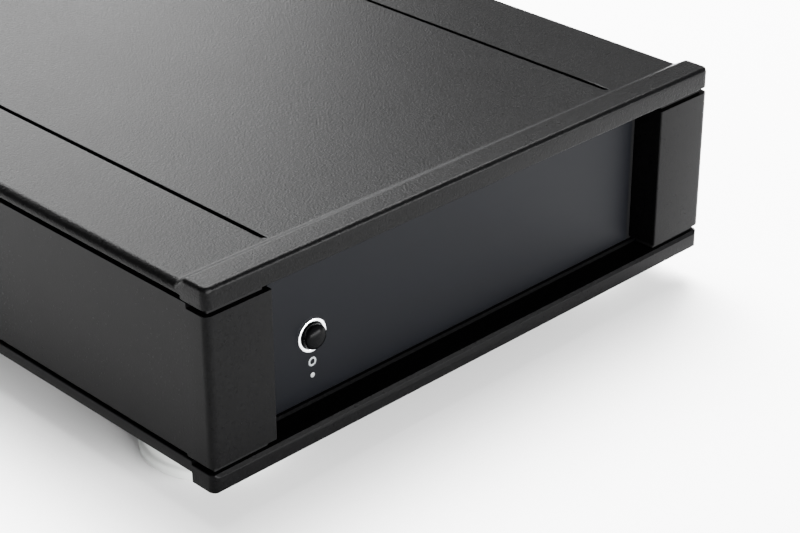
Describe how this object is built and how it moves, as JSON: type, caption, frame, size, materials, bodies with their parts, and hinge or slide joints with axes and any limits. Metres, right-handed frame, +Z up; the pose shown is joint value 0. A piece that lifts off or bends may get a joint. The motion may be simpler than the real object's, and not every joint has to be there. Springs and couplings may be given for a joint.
{
  "type": "phono preamplifier",
  "caption": "Half-width phono preamplifier in a black layered metal case: recessed gloss front, one push button, phono sockets, earth post and mains inlet behind.",
  "frame": {"origin": "on the surface the feet stand on, under the middle of the whole object's box", "axes": "+X to the right seen from the front, +Y from the front to the back, +Z up"},
  "size_m": [0.216, 0.3306, 0.078],
  "materials": {
    "case_black": "fine textured black powder coat",
    "gloss_black": "polished black acrylic",
    "matt_black": "dead matt black paint",
    "button_black": "satin black moulded cap",
    "bright_ring": "polished and plated ring",
    "steel": "zinc-plated steel",
    "black_steel": "black oxide steel",
    "white_mark": "pale grey inlay",
    "clear_lamp": "frosted clear acrylic",
    "board_green": "green solder mask on glass epoxy",
    "pale_foot": "pale translucent silicone rubber",
    "gold_plate": "gold plate on turned brass",
    "white_plastic": "white moulded plastic",
    "red_plastic": "red moulded plastic",
    "black_plastic": "black moulded plastic",
    "switch_blue": "blue moulded plastic",
    "nickel": "nickel plate on brass",
    "fuse_glass": "clear glass tube",
    "transformer_wrap": "black polyester tape wrap",
    "black_rubber": "black neoprene",
    "bare_aluminium": "bare extruded aluminium",
    "grey_ribbon": "grey flat cable",
    "lead_grey": "grey insulated lead"
  },
  "bodies": {
    "case": {"base_plate": "case_black", "left_side": "case_black", "right_side": "case_black", "top_cover": "case_black", "rear_panel": "case_black", "front_panel": "gloss_black", "panel_carrier": "matt_black", "button_ring": "bright_ring", "button_ring_nut": "steel", "power_switch": "black_plastic", "power_mark": "white_mark", "lamp_light_pipe": "clear_lamp", "lamp_led": "clear_lamp", "front_board": "board_green", "foot_front_left": "pale_foot", "foot_front_right": "pale_foot", "foot_rear_left": "pale_foot", "foot_rear_right": "pale_foot", "foot_screws": "steel", "case_tie_screws": "black_steel", "phono_socket_shells": "gold_plate", "phono_socket_insulators_white": "white_plastic", "phono_socket_insulators_red": "red_plastic", "phono_socket_contacts": "gold_plate", "earth_post": "gold_plate", "setting_switch_bodies": "switch_blue", "setting_board": "board_green", "selector_switch": "steel", "mains_inlet": "black_plastic", "mains_inlet_blades": "nickel", "mains_transformer": "transformer_wrap", "transformer_pads": "black_rubber", "transformer_dish": "steel", "transformer_bolt_and_nut": "steel", "main_board": "board_green", "reservoir_capacitors": "black_plastic", "coupling_capacitors": "black_plastic", "film_capacitors": "red_plastic", "input_relays": "white_plastic", "chips_and_transistors": "black_plastic", "regulator_heatsinks": "bare_aluminium", "board_plugs": "white_plastic", "front_ribbon": "grey_ribbon", "inner_leads": "lead_grey", "board_spacers": "nickel", "inner_screws": "steel", "rear_screws": "black_steel", "rear_nuts": "nickel"},
    "power_button": {"power_button": "button_black"},
    "fuse_drawer": {"fuse_drawer": "black_plastic", "fuse_cartridge": "fuse_glass"},
    "selector_knob": {"selector_knob": "black_plastic"},
    "earth_washer": {"earth_washer": "gold_plate"},
    "earth_knob": {"earth_knob": "gold_plate"},
    "setting_lever_11": {"setting_lever_11": "white_plastic"},
    "setting_lever_12": {"setting_lever_12": "white_plastic"},
    "setting_lever_13": {"setting_lever_13": "white_plastic"},
    "setting_lever_21": {"setting_lever_21": "white_plastic"},
    "setting_lever_22": {"setting_lever_22": "white_plastic"},
    "setting_lever_23": {"setting_lever_23": "white_plastic"}
  },
  "joints": [
    {"name": "power_button_press", "type": "slide", "parent": "case", "child": "power_button", "axis": [0, 1, 0], "range_m": [0, 0.002], "stiffness_N_per_m": 500, "springref_m": -0.0015},
    {"name": "fuse_drawer_pull", "type": "slide", "parent": "case", "child": "fuse_drawer", "axis": [0, 1, 0], "range_m": [0, 0.018]},
    {"name": "selector_slide", "type": "slide", "parent": "case", "child": "selector_knob", "axis": [1, 0, 0], "range_m": [0, 0.004]},
    {"name": "earth_washer_lift", "type": "slide", "parent": "case", "child": "earth_washer", "axis": [0, 1, 0], "range_m": [0, 0.0025]},
    {"name": "earth_knob_turn", "type": "hinge", "parent": "earth_washer", "child": "earth_knob", "pos_m": [-0.042, 0.15975, 0.044], "axis": [0, 1, 0], "range_deg": [0, 1286]},
    {"name": "setting_lever_11_slide", "type": "slide", "parent": "case", "child": "setting_lever_11", "axis": [0, 0, 1], "range_m": [0, 0.0018]},
    {"name": "setting_lever_12_slide", "type": "slide", "parent": "case", "child": "setting_lever_12", "axis": [0, 0, 1], "range_m": [0, 0.0018]},
    {"name": "setting_lever_13_slide", "type": "slide", "parent": "case", "child": "setting_lever_13", "axis": [0, 0, 1], "range_m": [0, 0.0018]},
    {"name": "setting_lever_21_slide", "type": "slide", "parent": "case", "child": "setting_lever_21", "axis": [0, 0, 1], "range_m": [0, 0.0018]},
    {"name": "setting_lever_22_slide", "type": "slide", "parent": "case", "child": "setting_lever_22", "axis": [0, 0, 1], "range_m": [0, 0.0018]},
    {"name": "setting_lever_23_slide", "type": "slide", "parent": "case", "child": "setting_lever_23", "axis": [0, 0, 1], "range_m": [0, 0.0018]}
  ],
  "couplings": [
    {"joint": "earth_knob_turn", "follows": "earth_washer_lift", "rad_per_m": 8976}
  ]
}
